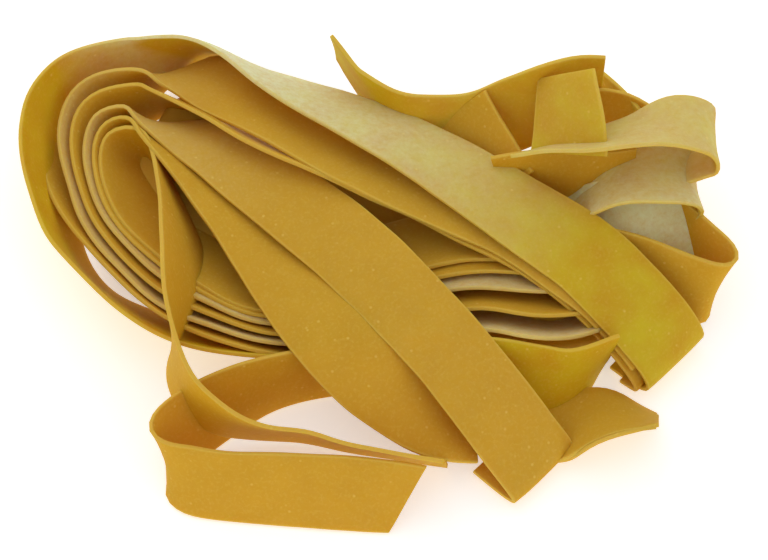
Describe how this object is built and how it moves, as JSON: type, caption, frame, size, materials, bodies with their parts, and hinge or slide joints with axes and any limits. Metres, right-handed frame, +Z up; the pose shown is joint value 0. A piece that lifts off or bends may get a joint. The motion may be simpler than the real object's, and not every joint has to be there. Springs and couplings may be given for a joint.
{
  "type": "dry pasta nest",
  "caption": "Dry egg pasta nest: a loose hank of wide flat ribbons, coiled tightly at one end, crossed over itself, with folded and curled loose ends",
  "frame": {"origin": "bottom centre of the bounding box, on the table", "axes": "+X along the long side from the coiled end to the folded end, +Y away from the loose front ribbon, +Z up"},
  "size_m": [0.157, 0.1186, 0.0452],
  "materials": {
    "pasta": "matte dried egg dough, golden yellow, floury"
  },
  "bodies": {
    "root": {"pasta_nest": "pasta"}
  },
  "joints": []
}
